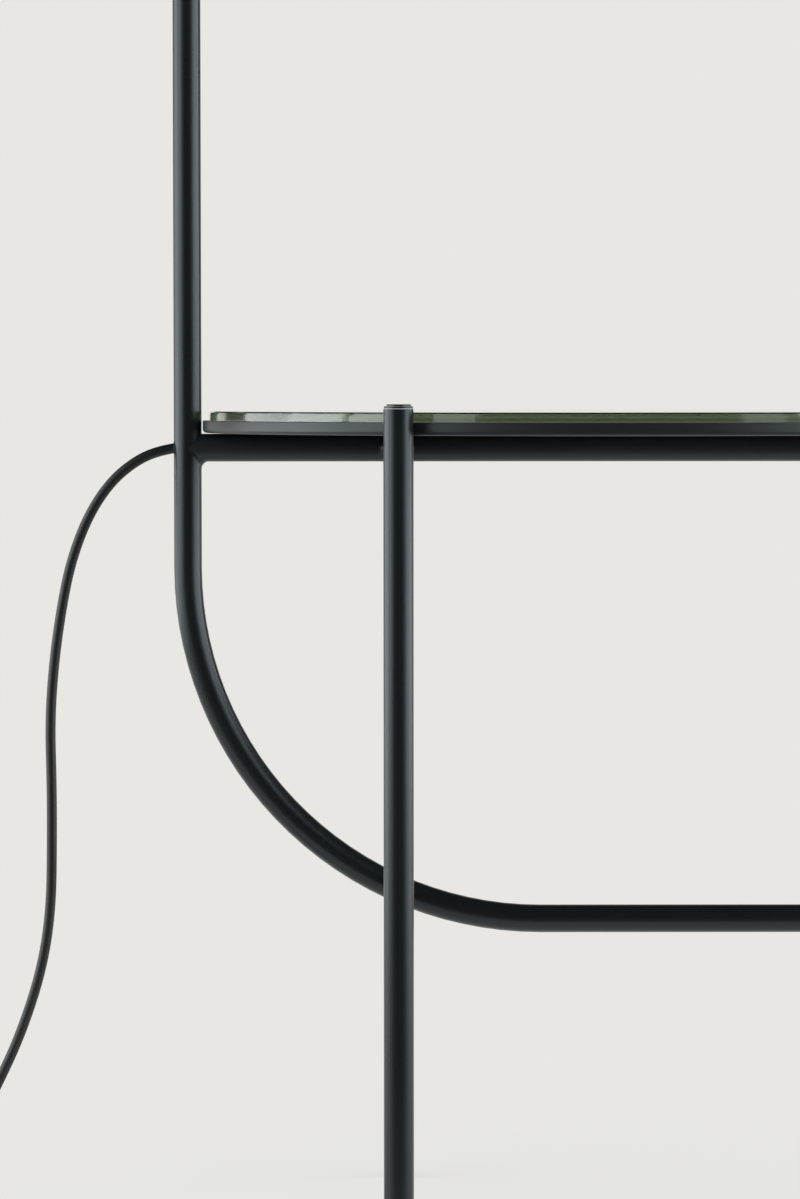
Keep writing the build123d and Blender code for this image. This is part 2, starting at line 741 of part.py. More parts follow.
def lead(name, points):
    """A stretch of the lead along its route, as straight runs joined by arcs."""
    radii = route_radii(points)
    path = FilletPolyline(*points, radius=radii)
    tube = swept(path, cord_diameter / 2)
    share = tube.volume / (math.pi * cord_diameter**2 / 4 * path.length)
    print(name, "length", round(path.length, 1), "volume share", round(share, 4))
    print(name, "radii", [round(radius) for radius in radii])
    return tube


parts["cord_hang"] = lead("cord_hang", cord_route)
parts["cord_tail"] = lead("cord_tail", tail_route)

# Coil. Half turns spiral in on the floor, climb in the half turn where the spiral reverses and
# spiral out again on top.
coil_centre = (cord_route[-1][0] + coil_outer_radius, cord_route[-1][1] - cord_diameter)
layer_heights = (cord_diameter / 2 + cord_floor_gap, cord_diameter / 2 + cord_floor_gap + coil_rise)
inward = [coil_outer_radius - coil_pitch / 2 * step for step in range(coil_half_turns + 1)]
outward = [inward[-1] - coil_draw_in] + inward[-2::-1]
coil_radii = inward + outward
coil_levels = [layer_heights[0]] * len(inward) + [layer_heights[1]] * len(outward)
coil_points = []
for step, (radius, level) in enumerate(zip(coil_radii, coil_levels)):
    side = -1 if step % 2 == 0 else 1
    coil_points.append(Vector(coil_centre[0] + side * radius, coil_centre[1], level))


def half_turn(start, end, heading):
    """Two tangent arcs from one point to the next, leaving along a heading and arriving against it."""
    depth = (end - start).length / 2
    middle = (start + end) * 0.5 + heading * depth
    onward = (end - start).normalized()
    return [TangentArc(start, middle, tangent=heading), TangentArc(middle, end, tangent=onward)]


coil_edges = [Line(coil_points[0] + Vector(0, cord_diameter, 0), coil_points[0])]
for step, (start, end) in enumerate(zip(coil_points, coil_points[1:])):
    coil_edges += half_turn(start, end, Vector(0, -1 if step % 2 == 0 else 1, 0))
coil_edges.append(Line(coil_points[-1], coil_points[-1] + Vector(0, cord_diameter, 0)))
coil_path = Wire(coil_edges)
parts["cord_coil"] = swept(coil_path, cord_diameter / 2)


def least_gap(path, diameter):
    """The least gap between two turns of a tube, measured on points along its path."""
    steps_per_diameter = 3
    diameters_apart = 5
    count = int(path.length / diameter * steps_per_diameter)
    points = [path.position_at(index / count) for index in range(count + 1)]
    apart = steps_per_diameter * diameters_apart
    nearest = min(
        (points[first] - points[second]).length
        for first in range(count + 1)
        for second in range(first + apart, count + 1)
    )
    return nearest - diameter


coil_gap = least_gap(coil_path, cord_diameter)
print("cord_coil length", round(coil_path.length, 1), "least gap", round(coil_gap, 2))
coil_share = parts["cord_coil"].volume / (math.pi * cord_diameter**2 / 4 * coil_path.length)
print("cord_coil volume share", round(coil_share, 4))

# Tie round the coil's turns, and the plug beside the coil
bundle_inside = min(coil_radii) - cord_diameter / 2 - tie_clearance
bundle_outside = (inward[1] + inward[2]) / 2 + cord_diameter / 2 + tie_clearance
bundle_top = layer_heights[1] + cord_diameter / 2
tie_outer = slab(
    (coil_centre[0] - tie_width / 2, coil_centre[1] + bundle_inside - tie_thickness, 0),
    (
        coil_centre[0] + tie_width / 2,
        coil_centre[1] + bundle_outside + tie_thickness,
        bundle_top + 2 * tie_thickness,
    ),
)
tie_inner = slab(
    (coil_centre[0] - tie_width, coil_centre[1] + bundle_inside, tie_thickness),
    (coil_centre[0] + tie_width, coil_centre[1] + bundle_outside, bundle_top + tie_thickness),
)
parts["coil_tie"] = tie_outer - tie_inner

plug_x, relief_start, plug_height = tail_route[-1]
taper_start = relief_start + plug_relief_length
body_start = taper_start + plug_taper_length
plug_face = body_start + plug_body_length
plug_outline = Polyline(
    (plug_x - plug_tail_width / 2, taper_start),
    (plug_x + plug_tail_width / 2, taper_start),
    (plug_x + plug_width / 2, body_start),
    (plug_x + plug_width / 2, plug_face),
    (plug_x - plug_width / 2, plug_face),
    (plug_x - plug_width / 2, body_start),
    close=True,
)
plug_plane = Plane.XY.offset(plug_height - plug_thickness / 2)
plug = extrude(plug_plane * make_face(plug_outline), plug_thickness)
plug = fillet(plug.edges().filter_by(Axis.Z), plug_corner_radius)
plug = fillet(plug.faces().sort_by(Axis.Z)[-1].edges(), plug_corner_radius)
plug = fillet(plug.faces().sort_by(Axis.Z)[0].edges(), plug_corner_radius)
relief_plane = Plane(origin=(plug_x, relief_start, plug_height), z_dir=(0, 1, 0))
relief = relief_plane * Pos(0, 0, (plug_relief_length + plug_corner_radius) / 2) * Cone(
    plug_relief_end_diameter / 2, plug_relief_root_diameter / 2, plug_relief_length + plug_corner_radius
)
parts["plug_body"] = one_solid(plug + relief)
pins = []
for offset in (-pin_spacing / 2, pin_spacing / 2):
    pin_x = plug_x + offset
    pin_tip = plug_face + pin_length
    pin = rod((pin_x, plug_face, plug_height), (pin_x, pin_tip, plug_height), pin_diameter / 2)
    pins.append(fillet(pin.edges().group_by(Axis.Y)[-1], pin_edge_radius))
parts["plug_pins"] = Compound(children=pins)

os.makedirs("parts", exist_ok=True)
for name, shape in parts.items():
    export_step(shape, f"parts/{name}.step")
print(len(parts), "pieces")
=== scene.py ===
import math

import bmesh
import bpy
from mathutils import Matrix, Vector


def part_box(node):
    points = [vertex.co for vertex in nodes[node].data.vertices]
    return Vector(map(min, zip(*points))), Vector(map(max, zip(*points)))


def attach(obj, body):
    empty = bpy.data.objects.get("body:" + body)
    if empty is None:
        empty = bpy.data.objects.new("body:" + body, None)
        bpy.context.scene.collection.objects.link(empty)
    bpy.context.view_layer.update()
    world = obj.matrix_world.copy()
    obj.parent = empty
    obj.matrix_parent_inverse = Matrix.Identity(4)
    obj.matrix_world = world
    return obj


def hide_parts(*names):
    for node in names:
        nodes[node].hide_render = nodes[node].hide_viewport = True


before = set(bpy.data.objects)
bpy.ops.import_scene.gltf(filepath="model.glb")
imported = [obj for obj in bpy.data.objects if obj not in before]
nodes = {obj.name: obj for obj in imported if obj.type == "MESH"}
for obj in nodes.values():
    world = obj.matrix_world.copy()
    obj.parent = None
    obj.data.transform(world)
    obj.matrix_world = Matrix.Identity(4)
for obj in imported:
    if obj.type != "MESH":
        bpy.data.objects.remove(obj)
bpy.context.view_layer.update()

# Studio: pale paper all round, which the camera sees as one even tone. Softboxes stand left and
# right of the lamp. For reflections the paper is bright behind the lamp and dark in front of it
# and above it.
scene = bpy.context.scene
scene.view_settings.view_transform = "Standard"
paper_tone = (0.807, 0.799, 0.768, 1.0)
ambient_tone = (0.40, 0.40, 0.405, 1.0)
softbox_tone = (0.94, 0.985, 1.0)
behind_start, behind_full = 0.80, 0.84
front_share = 0.06
level_start, level_end = 0.1, 0.65
overhead_share = 0.4


def link(tree, *pairs):
    """Joins pairs of output and input sockets in a node tree."""
    for start, end in pairs:
        tree.links.new(start, end)


def math_node(tree, operation, first, second, clamp=True):
    """A Math node on two sockets or numbers, and its result."""
    node = tree.nodes.new("ShaderNodeMath")
    node.operation = operation
    node.use_clamp = clamp
    for socket, value in zip(node.inputs, (first, second)):
        if isinstance(value, (int, float)):
            socket.default_value = value
        else:
            tree.links.new(value, socket)
    return node.outputs[0]


def ramp_between(tree, value, low, high, low_result, high_result):
    """A smooth step of a value from one result to another."""
    node = tree.nodes.new("ShaderNodeMapRange")
    node.interpolation_type = "SMOOTHSTEP"
    for socket, setting in zip(node.inputs[1:5], (low, high, low_result, high_result)):
        socket.default_value = setting
    tree.links.new(value, node.inputs[0])
    return node.outputs[0]


def seen_directly(tree):
    """One for camera, mirrored and through-glass rays, and one for mirrored rays alone."""
    rays = tree.nodes.new("ShaderNodeLightPath").outputs
    straight = math_node(tree, "ADD", rays["Is Camera Ray"], rays["Is Transmission Ray"])
    return math_node(tree, "ADD", straight, rays["Is Glossy Ray"]), rays["Is Glossy Ray"]


def mirrored_strength(tree, mirrored, share):
    """A strength of one, and a smaller share of it for mirrored rays."""
    lost = math_node(tree, "SUBTRACT", 1.0, share)
    return math_node(tree, "SUBTRACT", 1.0, math_node(tree, "MULTIPLY", mirrored, lost))


world = bpy.data.worlds.new("studio_paper")
scene.world = world
world.use_nodes = True
tree = world.node_tree
tree.nodes.clear()
seen, glossy = seen_directly(tree)
direction = tree.nodes.new("ShaderNodeSeparateXYZ")
link(tree, (tree.nodes.new("ShaderNodeTexCoord").outputs["Generated"], direction.inputs[0]))
behind = ramp_between(tree, direction.outputs["Y"], behind_start, behind_full, front_share, 1.0)
level = ramp_between(tree, direction.outputs["Z"], level_start, level_end, 1.0, overhead_share)
reflected = math_node(tree, "MULTIPLY", behind, level)
paper = tree.nodes.new("ShaderNodeBackground")
paper.inputs["Color"].default_value = paper_tone
ambient = tree.nodes.new("ShaderNodeBackground")
ambient.inputs["Color"].default_value = ambient_tone
either = tree.nodes.new("ShaderNodeMixShader")
link(
    tree,
    (mirrored_strength(tree, glossy, reflected), paper.inputs["Strength"]),
    (seen, either.inputs[0]),
    (ambient.outputs[0], either.inputs[1]),
    (paper.outputs[0], either.inputs[2]),
    (either.outputs[0], tree.nodes.new("ShaderNodeOutputWorld").inputs["Surface"]),
)

floor_reach = 20.0
shadow_reach, even_reach = 0.30, 0.75
shadow_glow = 0.80
paper_front, paper_full = -0.70, -0.35
floor_front_share = 0.12
floor_mesh = bpy.data.meshes.new("studio_floor")
floor_corners = [(-floor_reach, -floor_reach, 0), (floor_reach, -floor_reach, 0)]
floor_corners += [(floor_reach, floor_reach, 0), (-floor_reach, floor_reach, 0)]
floor_mesh.from_pydata(floor_corners, [], [(0, 1, 2, 3)])
studio_floor = bpy.data.objects.new("studio_floor", floor_mesh)
scene.collection.objects.link(studio_floor)
floor_paper = bpy.data.materials.new("floor_paper")
floor_paper.use_nodes = True
tree = floor_paper.node_tree
sheet = tree.nodes["Principled BSDF"]
sheet.inputs["Base Color"].default_value = (0.90, 0.895, 0.87, 1.0)
sheet.inputs["Roughness"].default_value = 0.9
seen, glossy = seen_directly(tree)
place = tree.nodes.new("ShaderNodeTexCoord").outputs["Object"]
distance = tree.nodes.new("ShaderNodeVectorMath")
distance.operation = "LENGTH"
depth = tree.nodes.new("ShaderNodeSeparateXYZ")
link(tree, (place, distance.inputs[0]), (place, depth.inputs[0]))
floor_distance = distance.outputs["Value"]
evenness = ramp_between(tree, floor_distance, shadow_reach, even_reach, shadow_glow, 1.0)
paper_end = ramp_between(
    tree, depth.outputs["Y"], paper_front, paper_full, floor_front_share, 1.0
)
glow = tree.nodes.new("ShaderNodeEmission")
glow.inputs["Color"].default_value = paper_tone
either = tree.nodes.new("ShaderNodeMixShader")
link(
    tree,
    (mirrored_strength(tree, glossy, paper_end), glow.inputs["Strength"]),
    (math_node(tree, "MULTIPLY", seen, evenness), either.inputs[0]),
    (sheet.outputs[0], either.inputs[1]),
    (glow.outputs[0], either.inputs[2]),
    (either.outputs[0], tree.nodes["Material Output"].inputs["Surface"]),
)
floor_mesh.materials.append(floor_paper)
softbox_level = 1.0
softbox_aim_level = 0.9
softbox_height = 2.0


def softbox(name, place, aim, width, power):
    """A tall soft lamp that stands at a spot, faces another and isn't seen itself."""
    lamp = bpy.data.lights.new(name, "AREA")
    lamp.shape = "RECTANGLE"
    lamp.size = width
    lamp.size_y = softbox_height
    lamp.energy = power
    lamp.color = softbox_tone
    box = bpy.data.objects.new(name, lamp)
    box.location = (*place, softbox_level)
    facing = Vector((*aim, softbox_aim_level)) - box.location
    box.rotation_euler = facing.to_track_quat("-Z", "Y").to_euler()
    box.visible_camera = False
    scene.collection.objects.link(box)


softbox("left_side_softbox", (-2.3, -0.0155), (0, -0.0155), 0.891, 21.8)
softbox("left_back_softbox", (-2.3, 1.0), (0, 1.0), 1.14, 16.5)
softbox("left_front_softbox", (-2.3, -1.153), (0, -1.153), 1.194, 22.5)
softbox("left_card", (-1.86, -1.87), (-0.1, -0.2), 0.6, 4.5)
softbox("right_softbox", (2.08, -0.167), (0.133, 0.292), 2.81, 56.5)
softbox("right_card", (1.589, -1.981), (0.08, -0.245), 0.56, 3.2)

# Camera: a long lens, nearly level with the glass, so the table top shows only as its edge
frame_height = 1199
focal_pixels = 4400
camera_place = (-0.13555, -2.85, 0.552)
camera_drop = 2.687
camera_roll = 0.0007
camera_lens = bpy.data.cameras.new("photo_camera")
camera_lens.sensor_fit = "VERTICAL"
camera_lens.sensor_height = 36.0
camera_lens.lens = camera_lens.sensor_height * focal_pixels / frame_height
camera = bpy.data.objects.new("photo_camera", camera_lens)
camera.location = camera_place
camera.rotation_euler = (math.radians(90 - camera_drop), camera_roll, 0)
scene.collection.objects.link(camera)
scene.camera = camera

# Mains lead: a round flex in a dull black sheath. It leaves the mast through a rubber grommet,
# hangs to the floor and lies there in a coil beside its plug.
grain = bpy.data.node_groups.new("surface_grain", "ShaderNodeTree")
for name, kind in (
    ("Vector", "NodeSocketVector"),
    ("Light tone", "NodeSocketColor"),
    ("Dark tone", "NodeSocketColor"),
    ("Smooth", "NodeSocketFloat"),
    ("Rough", "NodeSocketFloat"),
    ("Grains per metre", "NodeSocketFloat"),
):
    grain.interface.new_socket(name, in_out="INPUT", socket_type=kind)
for name, kind in (
    ("Color", "NodeSocketColor"),
    ("Roughness", "NodeSocketFloat"),
    ("Height", "NodeSocketFloat"),
):
    grain.interface.new_socket(name, in_out="OUTPUT", socket_type=kind)
grain_in = grain.nodes.new("NodeGroupInput").outputs
grain_out = grain.nodes.new("NodeGroupOutput").inputs
fine = grain.nodes.new("ShaderNodeTexNoise")
fine.inputs["Detail"].default_value = 3.0
cloud = grain.nodes.new("ShaderNodeTexNoise")
cloud.inputs["Scale"].default_value = 23.0
cloud.inputs["Detail"].default_value = 4.0
tone = grain.nodes.new("ShaderNodeMix")
tone.data_type = "RGBA"
gloss = grain.nodes.new("ShaderNodeMix")
blend = grain.nodes.new("ShaderNodeMix")
blend.inputs["Factor"].default_value = 0.45
link(
    grain,
    (grain_in["Vector"], fine.inputs["Vector"]),
    (grain_in["Grains per metre"], fine.inputs["Scale"]),
    (grain_in["Vector"], cloud.inputs["Vector"]),
    (cloud.outputs["Fac"], blend.inputs[2]),
    (fine.outputs["Fac"], blend.inputs[3]),
    (blend.outputs[0], tone.inputs["Factor"]),
    (grain_in["Dark tone"], tone.inputs[6]),
    (grain_in["Light tone"], tone.inputs[7]),
    (blend.outputs[0], gloss.inputs["Factor"]),
    (grain_in["Smooth"], gloss.inputs[2]),
    (grain_in["Rough"], gloss.inputs[3]),
    (tone.outputs[2], grain_out["Color"]),
    (gloss.outputs[0], grain_out["Roughness"]),
    (fine.outputs["Fac"], grain_out["Height"]),
)


def grained(name, dark, light, smooth, rough, grains, relief, **uniform):
    """A finish whose tone and gloss vary over a fine grain with a little relief, in metres."""
    finish = bpy.data.materials.new(name)
    finish.use_nodes = True
    tree = finish.node_tree
    shader = tree.nodes["Principled BSDF"]
    for socket, value in uniform.items():
        shader.inputs[socket.replace("_", " ")].default_value = value
    group = tree.nodes.new("ShaderNodeGroup")
    group.node_tree = grain
    group.inputs["Dark tone"].default_value = (*dark, 1.0)
    group.inputs["Light tone"].default_value = (*light, 1.0)
    group.inputs["Smooth"].default_value = smooth
    group.inputs["Rough"].default_value = rough
    group.inputs["Grains per metre"].default_value = grains
    bump = tree.nodes.new("ShaderNodeBump")
    bump.inputs["Strength"].default_value = 1.0
    bump.inputs["Distance"].default_value = relief
    link(
        tree,
        (tree.nodes.new("ShaderNodeTexCoord").outputs["Object"], group.inputs["Vector"]),
        (group.outputs["Color"], shader.inputs["Base Color"]),
        (group.outputs["Roughness"], shader.inputs["Roughness"]),
        (group.outputs["Height"], bump.inputs["Height"]),
        (bump.outputs["Normal"], shader.inputs["Normal"]),
    )
    return finish


def dress(finish, *names):
    """Gives CAD nodes a finish."""
    for name in names:
        for slot in nodes[name].material_slots:
            slot.material = finish


lead_diameter = 0.0065
facet_allowance = 1.02
coil_low, coil_high = 0.00425, 0.01145
lead_hang = [
    (-0.2790, 0.0, 0.5169),
    (-0.2926, 0.0, 0.5148),
    (-0.3085, 0.0, 0.5071),
    (-0.3240, 0.0, 0.4935),
    (-0.3380, 0.0, 0.4720),
    (-0.3490, 0.0, 0.4430),
    (-0.3555, 0.0, 0.4110),
    (-0.3605, 0.0, 0.3750),
    (-0.3630, 0.0, 0.3380),
    (-0.3620, 0.0, 0.2990),
    (-0.3620, 0.0, 0.2610),
    (-0.3627, 0.0, 0.2180),
    (-0.3685, 0.0, 0.1790),
    (-0.3818, 0.0, 0.1375),
    (-0.3980, 0.0, 0.1020),
    (-0.4160, -0.003, 0.0680),
    (-0.4300, -0.011, 0.0400),
    (-0.4410, -0.029, 0.0150),
    (-0.4460, -0.052, coil_low),
    (-0.4460, -0.072, coil_low),
]
lead_tail = [
    (-0.3560, -0.0720, coil_high),
    (-0.3560, -0.0610, coil_high),
    (-0.3564, -0.0480, 0.0093),
    (-0.3570, -0.0350, 0.0069),
    (-0.3570, -0.0250, 0.0069),
]
coil_middle = (-0.401, -0.0785)
coil_in = [0.0450, 0.0414, 0.0378, 0.0342, 0.0306, 0.0270]
coil_turn_back = 0.0244
coil_radii = coil_in + [coil_turn_back] + coil_in[-2::-1]
coil_levels = [coil_low] * len(coil_in) + [coil_high] * len(coil_in)
points_per_half_turn = 8
spline_inset = math.cos(math.pi / (2 * points_per_half_turn))
lead_points = list(lead_hang)
for half_turn in range(len(coil_radii) - 1):
    for step in range(points_per_half_turn):
        share = step / points_per_half_turn
        angle = math.pi * (1 + half_turn + share)
        radius = coil_radii[half_turn] * (1 - share) + coil_radii[half_turn + 1] * share
        radius /= spline_inset
        x = coil_middle[0] + radius * math.cos(angle)
        y = coil_middle[1] + radius * math.sin(angle)
        height = coil_levels[half_turn] * (1 - share) + coil_levels[half_turn + 1] * share
        lead_points.append((x, y, height))
lead_points += lead_tail
lead_curve = bpy.data.curves.new("mains_lead", "CURVE")
lead_curve.dimensions = "3D"
lead_spline = lead_curve.splines.new("NURBS")
lead_spline.points.add(len(lead_points) - 1)
for point, place in zip(lead_spline.points, lead_points):
    point.co = (*place, 1.0)
lead_spline.order_u = 3
lead_spline.use_endpoint_u = True
lead_spline.resolution_u = 6
lead_curve.bevel_depth = facet_allowance * lead_diameter / 2
lead_curve.bevel_resolution = 7
lead_curve.use_fill_caps = True
mains_lead = bpy.data.objects.new("mains_lead", lead_curve)
scene.collection.objects.link(mains_lead)
lead_sheath = grained(
    "lead_sheath", (0.0048, 0.0060, 0.0066), (0.0096, 0.0114, 0.0122), 0.38, 0.50, 2600.0, 0.00003
)
lead_curve.materials.append(lead_sheath)
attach(mains_lead, "frame")
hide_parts("cord_hang", "cord_coil", "cord_tail")
dress(lead_sheath, "mast_cable", "head_cable")

# Strap round the coil: a strip of black nylon, closed on itself and rounded where it turns round
# the bundle
strap_width = 0.010
strap_wall = 0.0008
strap_low = (coil_middle[1] + 0.01925, 0.0)
strap_high = (coil_middle[1] + 0.04475, 0.0163)
strap_bend = 0.0038
strap_bend_steps = 8
strap_edge = 0.00025
sharp_angle = math.radians(60)


def bevelled(mesh, width):
    """Rounds the sharp edges of a mesh under construction."""
    inner = [edge for edge in mesh.edges if len(edge.link_faces) == 2]
    sharp = [edge for edge in inner if edge.calc_face_angle() > sharp_angle]
    bmesh.ops.bevel(
        mesh,
        geom=sharp,
        offset=width,
        segments=2,
        affect="EDGES",
        profile=0.5,
        clamp_overlap=True,
    )


def finished_piece(name, mesh, body, finishes, replaced=(), smooth_angle=40):
    """Turns a mesh under construction into a shaded piece that rides on a body."""
    bmesh.ops.remove_doubles(mesh, verts=mesh.verts, dist=1e-6)
    bmesh.ops.recalc_face_normals(mesh, faces=mesh.faces)
    data = bpy.data.meshes.new(name)
    mesh.to_mesh(data)
    mesh.free()
    return shown_piece(name, data, body, finishes, replaced, smooth_angle)


def shown_piece(name, data, body, finishes, replaced=(), smooth_angle=40):
    """Shades a mesh, gives it its finishes and lets it ride on a body in place of CAD nodes."""
    data.shade_smooth()
    data.set_sharp_from_angle(angle=math.radians(smooth_angle))
    for finish in finishes:
        data.materials.append(finish)
    piece = bpy.data.objects.new(name, data)
    scene.collection.objects.link(piece)
    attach(piece, body)
    if replaced:
        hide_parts(*replaced)
    return piece


def rounded_loop(low, high, bend, steps):
    """Points round a rectangle with rounded corners, as (across, up)."""
    points = []
    corners = ((high[0] - bend, high[1] - bend), (low[0] + bend, high[1] - bend))
    corners += ((low[0] + bend, low[1] + bend), (high[0] - bend, low[1] + bend))
    for quarter, (across, up) in enumerate(corners):
        for step in range(steps + 1):
            angle = math.pi / 2 * (quarter + step / steps)
            points.append((across + bend * math.cos(angle), up + bend * math.sin(angle)))
    return points


def joined_rings(mesh, rings):
    """Skins a row of equal rings of points, with the last ring joined to the first."""
    for ring, after in zip(rings, rings[1:] + rings[:1]):
        for index in range(len(ring)):
            onward = (index + 1) % len(ring)
            mesh.faces.new((ring[index], ring[onward], after[onward], after[index]))


strap = bmesh.new()
strap_outer = rounded_loop(strap_low, strap_high, strap_bend, strap_bend_steps)
strap_inner = rounded_loop(
    [value + strap_wall for value in strap_low],
    [value - strap_wall for value in strap_high],
    strap_bend - strap_wall,
    strap_bend_steps,
)
strap_left = coil_middle[0] - strap_width / 2
strap_right = coil_middle[0] + strap_width / 2
strap_rings = []
for loop, x in (
    (strap_outer, strap_left),
    (strap_outer, strap_right),
    (strap_inner, strap_right),
    (strap_inner, strap_left),
):
    strap_rings.append([strap.verts.new((x, y, z)) for y, z in loop])
joined_rings(strap, strap_rings)
bevelled(strap, strap_edge)
strap_nylon = grained(
    "strap_nylon", (0.010, 0.010, 0.011), (0.020, 0.020, 0.021), 0.34, 0.5, 900.0, 0.00005
)
coil_strap = finished_piece(
    "coil_strap", strap, "frame", [strap_nylon], ["coil_tie"]
)

# Grommet: a plain ring of black rubber in the mast's wall, flush with the tube, where the lead
# comes out
black_rubber = grained(
    "black_rubber", (0.010, 0.010, 0.010), (0.022, 0.022, 0.022), 0.6, 0.8, 1400.0, 0.00006
)


def turned(outline, steps, finish_of=lambda index: 0):
    """A solid turned about the upright axis from an outline of (radius, height)."""
    mesh = bmesh.new()
    turns = [2 * math.pi * step / steps for step in range(steps)]
    rings = []
    for radius, height in outline:
        if radius == 0:
            rings.append([mesh.verts.new((0, 0, height))] * steps)
        else:
            places = [(radius * math.cos(a), radius * math.sin(a), height) for a in turns]
            rings.append([mesh.verts.new(place) for place in places])
    stretches = len(rings) if outline[0][0] else len(rings) - 1
    for index in range(stretches):
        ring, onward = rings[index], rings[(index + 1) % len(rings)]
        for step in range(steps):
            after = (step + 1) % steps
            corners = dict.fromkeys((ring[step], ring[after], onward[after], onward[step]))
            mesh.faces.new(corners).material_index = finish_of(index)
    return mesh


def arc(centre, radius, start, end, steps):
    """Points on an arc between two angles in degrees, as (radius, height)."""
    points = []
    for step in range(steps + 1):
        angle = math.radians(start + (end - start) * step / steps)
        points.append((centre[0] + radius * math.cos(angle), centre[1] + radius * math.sin(angle)))
    return points


grommet_low, grommet_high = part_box("cord_grommet")
grommet_radius = (grommet_high.z - grommet_low.z) / 2
grommet_bore = 0.0036
grommet_depth = 0.0033
grommet_edge = 0.0004
grommet_proud = 0.0004
outer_edge = (grommet_radius - grommet_edge, grommet_edge)
inner_edge = (grommet_bore + grommet_edge, grommet_edge)
grommet_outline = [(grommet_bore, grommet_depth), (grommet_radius, grommet_depth)]
grommet_outline += arc(outer_edge, grommet_edge, 0, -90, 4)
grommet_outline += arc(inner_edge, grommet_edge, -90, -180, 4)
grommet_mesh = turned(grommet_outline, 48)
sideways = Matrix.Rotation(math.pi / 2, 3, "Y")
bmesh.ops.rotate(grommet_mesh, verts=grommet_mesh.verts, matrix=sideways)
grommet_place = (grommet_low.x + grommet_proud, 0, (grommet_low.z + grommet_high.z) / 2)
bmesh.ops.translate(grommet_mesh, verts=grommet_mesh.verts, vec=grommet_place)
grommet_ring = finished_piece(
    "grommet_ring", grommet_mesh, "frame", [black_rubber], ["cord_grommet"]
)

# Plug: moulded onto the lead, with nickel pins and a ribbed strain relief where the lead goes in
relief_start = Vector((-0.357, -0.0235, 0.0069))
relief_pitch = 0.0027
relief_ribs = 7
rib_size = 0.00065
relief_end_radius = 0.0044
relief_root_radius = 0.0058


def new_node_tree(name, inputs):
    """A Geometry Nodes tree with named inputs, and its input and output sockets."""
    tree = bpy.data.node_groups.new(name, "GeometryNodeTree")
    tree.interface.new_socket("Geometry", in_out="INPUT", socket_type="NodeSocketGeometry")
    for label, kind in inputs:
        tree.interface.new_socket(label, in_out="INPUT", socket_type=kind)
    tree.interface.new_socket("Geometry", in_out="OUTPUT", socket_type="NodeSocketGeometry")
    given = tree.nodes.new("NodeGroupInput").outputs
    result = tree.nodes.new("NodeGroupOutput").inputs
    return tree, given, result


def closing_nodes(tree, geometry, material, result):
    """Ends a tree with smooth shading, real geometry and its material."""
    smooth = tree.nodes.new("GeometryNodeSetShadeSmooth")
    real = tree.nodes.new("GeometryNodeRealizeInstances")
    painted = tree.nodes.new("GeometryNodeSetMaterial")
    link(
        tree,
        (geometry, smooth.inputs["Geometry"]),
        (smooth.outputs[0], real.inputs["Geometry"]),
        (real.outputs[0], painted.inputs["Geometry"]),
        (material, painted.inputs["Material"]),
        (painted.outputs[0], result["Geometry"]),
    )


def grown_mesh(name, start, tree, values):
    """A plain mesh of what a tree makes from a starting mesh and its input values."""
    holder = bpy.data.objects.new(name, start)
    scene.collection.objects.link(holder)
    growth = holder.modifiers.new(name, "NODES")
    growth.node_group = tree
    for item in tree.interface.items_tree:
        if item.in_out == "INPUT" and item.name in values:
            growth[item.identifier] = values[item.name]
    now = bpy.context.evaluated_depsgraph_get()
    mesh = bpy.data.meshes.new_from_object(holder.evaluated_get(now), depsgraph=now)
    bpy.data.objects.remove(holder)
    mesh.name = name
    return mesh


rib_tree, given, result = new_node_tree(
    "relief_ribs",
    (
        ("Ribs", "NodeSocketInt"),
        ("Pitch", "NodeSocketFloat"),
        ("First radius", "NodeSocketFloat"),
        ("Last radius", "NodeSocketFloat"),
        ("Rib size", "NodeSocketFloat"),
        ("Finish", "NodeSocketMaterial"),
    ),
)
rib_line = rib_tree.nodes.new("GeometryNodeMeshLine")
rib_offset = rib_tree.nodes.new("ShaderNodeCombineXYZ")
rib_ring = rib_tree.nodes.new("GeometryNodeCurvePrimitiveCircle")
rib_ring.inputs["Resolution"].default_value = 40
rib_round = rib_tree.nodes.new("GeometryNodeCurvePrimitiveCircle")
rib_round.inputs["Resolution"].default_value = 10
rib_body = rib_tree.nodes.new("GeometryNodeCurveToMesh")
rib_place = rib_tree.nodes.new("GeometryNodeInstanceOnPoints")
rib_index = rib_tree.nodes.new("GeometryNodeInputIndex")
rib_growth = rib_tree.nodes.new("ShaderNodeMapRange")
last_rib = math_node(rib_tree, "SUBTRACT", given["Ribs"], 1.0, clamp=False)
rib_scale = math_node(
    rib_tree, "DIVIDE", rib_growth.outputs[0], given["First radius"], clamp=False
)
link(
    rib_tree,
    (given["Ribs"], rib_line.inputs["Count"]),
    (given["Pitch"], rib_offset.inputs["Z"]),
    (rib_offset.outputs[0], rib_line.inputs["Offset"]),
    (given["First radius"], rib_ring.inputs["Radius"]),
    (given["Rib size"], rib_round.inputs["Radius"]),
    (rib_ring.outputs[0], rib_body.inputs["Curve"]),
    (rib_round.outputs[0], rib_body.inputs["Profile Curve"]),
    (rib_line.outputs[0], rib_place.inputs["Points"]),
    (rib_body.outputs[0], rib_place.inputs["Instance"]),
    (rib_index.outputs[0], rib_growth.inputs[0]),
    (last_rib, rib_growth.inputs[2]),
    (given["First radius"], rib_growth.inputs[3]),
    (given["Last radius"], rib_growth.inputs[4]),
    (rib_scale, rib_place.inputs["Scale"]),
)
closing_nodes(rib_tree, rib_place.outputs[0], given["Finish"], result)
moulded_plug = grained(
    "moulded_plug", (0.011, 0.011, 0.012), (0.020, 0.020, 0.021), 0.40, 0.55, 1800.0, 0.00004
)
